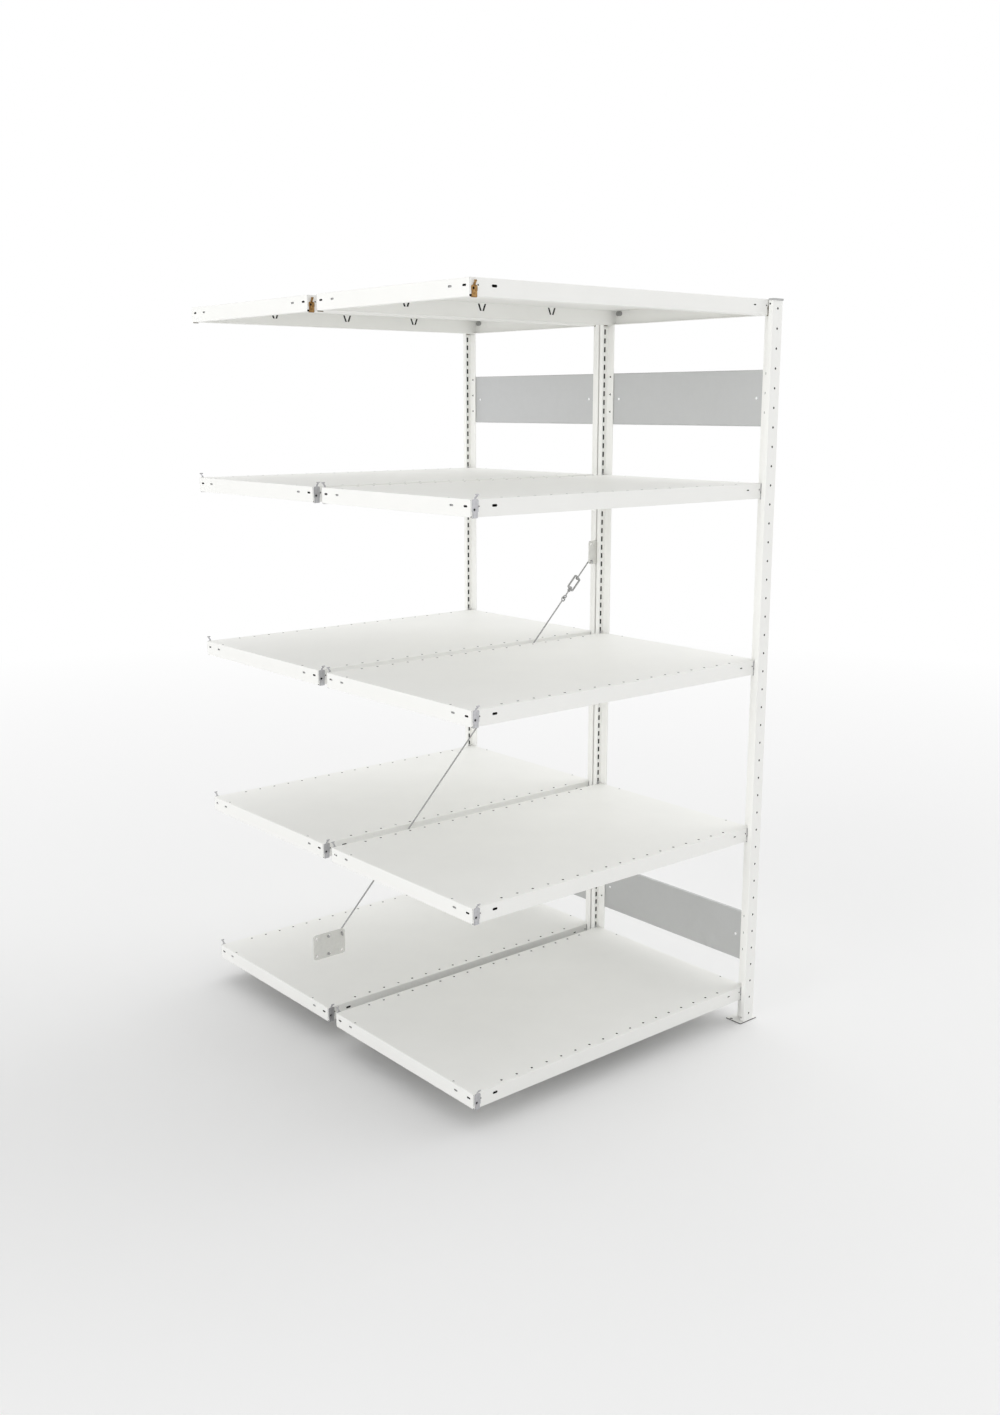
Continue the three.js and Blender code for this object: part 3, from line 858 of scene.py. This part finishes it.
def makePanel(length, height):
    t = panel["sheet"]
    fold = panel["fold"]
    r = panel["bend"]
    section = roundCorners([
        (0, 0, r), (fold, 0, 0), (fold, t, 0), (t, t, r - t), (t, height - t, r - t), (fold, height - t, 0),
        (fold, height, 0), (0, height, r),
    ])
    shape = bmesh.new()
    addPrism(shape, section, -length / 2, length / 2, "xz")
    tool = bmesh.new()
    for side in (-1, 1):
        hole = circle(side * (length / 2 - panel["holeIn"]), height / 2, panel["hole"], 20)
        addPrism(tool, hole, -past, t + past, "yz")
    return finished(combine(shape, tool, "DIFFERENCE"), "endPanel", [zincSheet])


low, high = corners("end_panel_front_lower")
panelMesh = makePanel(high.y - low.y, high.z - low.z)
for unit in ("front", "rear"):
    for level in ("lower", "upper"):
        node = f"end_panel_{unit}_{level}"
        low, high = corners(node)
        where = Vector((low.x, (low.y + high.y) / 2, low.z)) * mm
        place(f"endPanel{unit.capitalize()}{level.capitalize()}", panelMesh, where, stands=[node])
print("end panels made")


# Brace plates with two rows of holes; bolts show in the second column of the lower one
plate = {
    "corner": 8, "hole": 9, "edge": 10, "columnPitch": 40, "columns": {"lower": 3, "upper": 2}, "rows": (10, 60),
    "softened": 0.4, "boltHead": 7, "boltHeight": 4, "boltAside": -4, "boltGap": 0.02, "boltSoftened": 0.5,
}


def makeBracePlate(columns, height, thickness):
    places = [(k - 1) * plate["columnPitch"] for k in range(columns)]
    holes = [circle(column, row, plate["hole"], 24) for column in places for row in plate["rows"]]
    edge = plate["edge"]
    shape = bmesh.new()
    outline = rectangle(places[0] - edge, 0, places[-1] + edge, height, plate["corner"], 8)
    addPrism(shape, outline, -thickness / 2, thickness / 2, "xz")
    softenEdges(shape, plate["softened"])
    tool = bmesh.new()
    for hole in holes:
        addPrism(tool, hole, -thickness, thickness, "xz")
    return finished(combine(shape, tool, "DIFFERENCE"), "bracePlate", [plateFinish])


platePlaces = {}
for level, columns in plate["columns"].items():
    node = f"gusset_plate_{level}"
    low, high = corners(node)
    plateThickness = high.y - low.y
    where = Vector((low.x + plate["edge"] + plate["columnPitch"], 0, low.z))
    platePlaces[level] = where
    mesh = makeBracePlate(columns, high.z - low.z, plateThickness)
    place(f"bracePlate{level.capitalize()}", mesh, where * mm, stands=[node])


# The brace is built lying along X from the lower plate's hole, then turned up to its slope
brace = {
    "rod": 2.1, "wire": 1.9, "eye": 6, "behind": 8.3, "hookReach": 4, "hookTail": 8, "bend": 3.0,
    "nut": 9, "nutLength": 6, "nutGap": 1, "threadPitch": 1.4, "threadDepth": 0.28, "threadShown": 24,
    "frameFromTop": 65, "frameLength": 47, "frameWidth": 25, "frameDepth": 6, "frameBar": 2.5, "frameEnd": 5,
    "frameCorner": 4, "frameEdge": 0.9, "windowCorner": 2, "bossInset": 0.4,
    "boss": 9, "bossLength": 7, "bore": 5.5, "threadInside": 4, "hookShank": 24, "meetingGap": 0.3,
    "overlap": 1, "weld": 0.01,
}
lowHole = platePlaces["lower"] + Vector((plate["columnPitch"], 0, plate["rows"][1]))
highHole = platePlaces["upper"] + Vector((-plate["columnPitch"], 0, plate["rows"][0]))
braceLength = (highHole - lowHole).length
braceAngle = math.atan2(highHole.z - lowHole.z, highHole.x - lowHole.x)
braceTurn = Matrix.Rotation(-braceAngle, 4, "Y")
braceStart = Vector((lowHole.x, brace["behind"], lowHole.z)) * mm
frameHigh = braceLength - brace["frameFromTop"]
frameLow = frameHigh - brace["frameLength"]
hookEye = frameLow - brace["hookShank"] - brace["eye"]
rodEye = hookEye - 2 * (brace["eye"] - brace["wire"]) + brace["meetingGap"]


def hookPath(at):
    # forwards through the plate's hole, with the tail hanging straight down in front of the plate
    front = -brace["behind"] - plateThickness / 2 - brace["hookReach"]
    tail = brace["hookTail"]
    end = (at - math.sin(braceAngle) * tail, front, -math.cos(braceAngle) * tail)
    return [end, (at, front, 0), (at, 0, 0)]


def eyePath(at, across, steps=28):
    # a full turn of wire, in the plane of the plate or across it
    route = []
    for k in range(steps):
        a = 2 * math.pi * k / steps
        x = at + brace["eye"] * math.cos(a)
        y = brace["eye"] * math.sin(a)
        route.append((x, 0, y) if not across else (x, y, 0))
    return route


def addThread(shape, start, end, sides=16):
    # a helical thread: the radius rises and falls once for each turn
    pitch = brace["threadPitch"]
    steps = max(2, int((end - start) / pitch * 4))
    rings = []
    for i in range(steps + 1):
        x = start + (end - start) * i / steps
        ring = []
        for k in range(sides):
            phase = (x / pitch - k / sides) % 1
            radius = brace["rod"] - brace["threadDepth"] * abs(2 * phase - 1)
            a = 2 * math.pi * k / sides
            ring.append(shape.verts.new(Vector((x, radius * math.cos(a), radius * math.sin(a))) * mm))
        rings.append(ring)
    faces = [shape.faces.new(rings[0]), shape.faces.new(rings[-1])]
    for one, two in zip(rings, rings[1:]):
        for k in range(sides):
            j = (k + 1) % sides
            faces.append(shape.faces.new((one[k], one[j], two[j], two[k])))
    bmesh.ops.recalc_face_normals(shape, faces=faces)


def rodShape(path):
    shape = bmesh.new()
    route = roundPath(path, brace["bend"])
    addTube(shape, route, [brace["rod"]] * len(route))
    return shape


def ringShape(at, across):
    shape = bmesh.new()
    route = eyePath(at, across)
    addTube(shape, route, [brace["wire"]] * len(route), 12, True)
    return shape


def threadShape(start, end):
    # in triangles, because a joined shape needs flat faces and the thread's quads are twisted
    shape = bmesh.new()
    addThread(shape, start, end)
    bmesh.ops.triangulate(shape, faces=shape.faces[:])
    return shape


longRod = rodShape(hookPath(0) + [(rodEye - brace["eye"], 0, 0)])
longRod = combine(longRod, ringShape(rodEye, False), "UNION")
longMesh = finished(longRod, "braceLongRod", [rodPlating], smoothAngle=40)

inside = frameLow + brace["frameEnd"] + brace["threadInside"]
shortHook = combine(ringShape(hookEye, True), threadShape(hookEye + brace["eye"], inside), "UNION")
nut = bmesh.new()
nutEnd = frameLow - brace["nutGap"]
addPrism(nut, hexagon(brace["nut"]), nutEnd - brace["nutLength"], nutEnd, "yz")
shortHook = combine(shortHook, nut, "UNION")
weld(shortHook, brace["weld"])
shortMesh = finished(shortHook, "braceShortHook", [rodPlating], smoothAngle=40)

inside = frameHigh - brace["frameEnd"] - brace["threadInside"]
shown = inside + brace["threadShown"]
upperRod = rodShape(hookPath(braceLength) + [(shown - brace["overlap"], 0, 0)])
upperRod = combine(upperRod, threadShape(inside, shown), "UNION")
upperMesh = finished(upperRod, "braceUpperRod", [rodPlating], smoothAngle=40)


def makeTurnbuckle():
    w = brace["frameWidth"] / 2
    inner = w - brace["frameBar"]
    start = frameLow + brace["frameEnd"]
    end = frameHigh - brace["frameEnd"]
    window = rectangle(start, -inner, end, inner, brace["windowCorner"])
    outline = rectangle(frameLow, -w, frameHigh, w, brace["frameCorner"], 6)
    depth = brace["frameDepth"] / 2
    shape = bmesh.new()
    addPrism(shape, outline, -depth, depth, "xz", [window])
    sharp = [e for e in shape.edges if e.calc_face_angle(0) > math.radians(60)]
    bmesh.ops.bevel(
        shape, geom=sharp, offset=brace["frameEdge"] * mm, offset_type="OFFSET", segments=3, profile=0.5,
        affect="EDGES", clamp_overlap=True,
    )
    bosses = bmesh.new()
    for start in (frameLow + brace["bossInset"], frameHigh - brace["bossInset"] - brace["bossLength"]):
        addPrism(bosses, circle(0, 0, brace["boss"], 24), start, start + brace["bossLength"], "yz")
    shape = combine(shape, bosses, "UNION")
    bore = bmesh.new()
    addPrism(bore, circle(0, 0, brace["bore"], 20), frameLow - past, frameHigh + past, "yz")
    return finished(combine(shape, bore, "DIFFERENCE"), "turnbuckle", [rodPlating], smoothAngle=40)


turnbuckleMesh = makeTurnbuckle()
for name, mesh, node, body in (
    ("braceLongRod", longMesh, "brace_rod_long", "frame"),
    ("braceShortHook", shortMesh, "brace_hook_short", "frame"),
    ("braceUpperRod", upperMesh, "brace_rod_upper", "frame"),
    ("braceTurnbuckle", turnbuckleMesh, "brace_turnbuckle", "turnbuckle"),
):
    place(name, mesh, braceStart, body, [node], braceTurn)


# Bolt heads over the middle pair of holes of the lower brace plate
def makeBolt():
    deep = plateThickness / 2
    shape = bmesh.new()
    addPrism(shape, hexagon(plate["boltHead"]), -deep - plate["boltHeight"], -deep - plate["boltGap"], "xz")
    return finished(shape, "plateBolt", [rodPlating], plate["boltSoftened"])


boltMesh = makeBolt()
for row in plate["rows"]:
    where = (platePlaces["lower"] + Vector((plate["boltAside"], 0, row))) * mm
    place(f"plateBolt{row}", boltMesh, where)
print("brace made")


# Floor, light and camera, in metres. Each light has where it comes from, its strength and its width in degrees
stage = {
    "floor": "#f9f9f9", "floorHalf": 40, "fadeFrom": 1.5, "fadeTo": 6.5, "worldLight": 0.66,
    "lights": {
        "leftLight": ((-1.0, -0.06, 0.02), 1.25, 32),
        "rightLight": ((0.9, -0.15, 0.35), 1.02, 60),
        "topLight": ((0.3, 0.3, 0.9), 0.42, 50),
    },
}


def makeFloor():
    # a pale floor that fades to white away from the unit
    material, tree, output, coords = newMaterial("paleFloor")
    distance = addNode(tree, "ShaderNodeVectorMath", {"operation": "LENGTH"}, {0: coords})
    far = addNode(tree, "ShaderNodeMapRange", {
        "From Min": stage["fadeFrom"], "From Max": stage["fadeTo"], "To Min": 0.0, "To Max": 1.0,
    }, {"Value": distance.outputs["Value"]})
    ground = addNode(tree, "ShaderNodeBsdfDiffuse", {"Color": toLinear(stage["floor"])})
    white = addNode(tree, "ShaderNodeEmission", {"Color": toLinear("#ffffff"), "Strength": 1.0})
    fade = addNode(tree, "ShaderNodeMixShader", {}, {
        "Fac": far.outputs["Result"], 1: ground.outputs["BSDF"], 2: white.outputs["Emission"],
    })
    tree.links.new(fade.outputs["Shader"], output.inputs["Surface"])
    shape = bmesh.new()
    bmesh.ops.create_grid(shape, x_segments=1, y_segments=1, size=stage["floorHalf"])
    mesh = bpy.data.meshes.new("floor")
    shape.to_mesh(mesh)
    shape.free()
    mesh.materials.append(material)
    floor = bpy.data.objects.new("floor", mesh)
    bpy.context.scene.collection.objects.link(floor)


def makeWorld(strength):
    # white to the eye and in metal, softer as light on the object
    world = bpy.data.worlds.new("studio")
    bpy.context.scene.world = world
    world.use_nodes = True
    tree = world.node_tree
    tree.nodes.clear()
    output = addNode(tree, "ShaderNodeOutputWorld")
    path = addNode(tree, "ShaderNodeLightPath")
    glossy = addNode(tree, "ShaderNodeMath", {"operation": "MAXIMUM"}, {
        0: path.outputs["Is Camera Ray"], 1: path.outputs["Is Glossy Ray"],
    })
    seen = addNode(tree, "ShaderNodeMath", {"operation": "MAXIMUM"}, {
        0: glossy.outputs["Value"], 1: path.outputs["Is Transmission Ray"],
    })
    soft = addNode(tree, "ShaderNodeBackground", {"Color": toLinear("#ffffff"), "Strength": strength})
    white = addNode(tree, "ShaderNodeBackground", {"Color": toLinear("#ffffff"), "Strength": 1.0})
    mix = addNode(tree, "ShaderNodeMixShader", {}, {
        "Fac": seen.outputs["Value"], 1: soft.outputs["Background"], 2: white.outputs["Background"],
    })
    tree.links.new(mix.outputs["Shader"], output.inputs["Surface"])


def addSun(name, towards, strength, width):
    # a very wide sun is an even wash of light from one side
    light = bpy.data.lights.new(name, "SUN")
    light.energy = strength
    light.angle = math.radians(width)
    lamp = bpy.data.objects.new(name, light)
    bpy.context.scene.collection.objects.link(lamp)
    lamp.rotation_euler = Vector(towards).to_track_quat("Z", "Y").to_euler()


# The photograph's viewpoint, worked out from the unit's straight edges
view = {"azimuth": -40.079, "elevation": 12.377, "place": (-2.4040, -2.9900, 1.7309), "lens": 35, "sensor": 36}


def makeCamera():
    data = bpy.data.cameras.new("camera")
    data.lens = view["lens"]
    data.sensor_width = view["sensor"]
    data.sensor_fit = "AUTO"
    a = math.radians(view["azimuth"])
    e = math.radians(view["elevation"])
    back = Vector((math.sin(a) * math.cos(e), -math.cos(a) * math.cos(e), math.sin(e)))
    camera = bpy.data.objects.new("camera", data)
    camera.location = view["place"]
    camera.rotation_euler = (-back).to_track_quat("-Z", "Y").to_euler()
    bpy.context.scene.collection.objects.link(camera)
    bpy.context.scene.camera = camera


makeFloor()
makeWorld(stage["worldLight"])
for name, (towards, strength, width) in stage["lights"].items():
    addSun(name, towards, strength, width)
makeCamera()
bpy.context.scene.view_settings.view_transform = "Standard"
print("stage made")
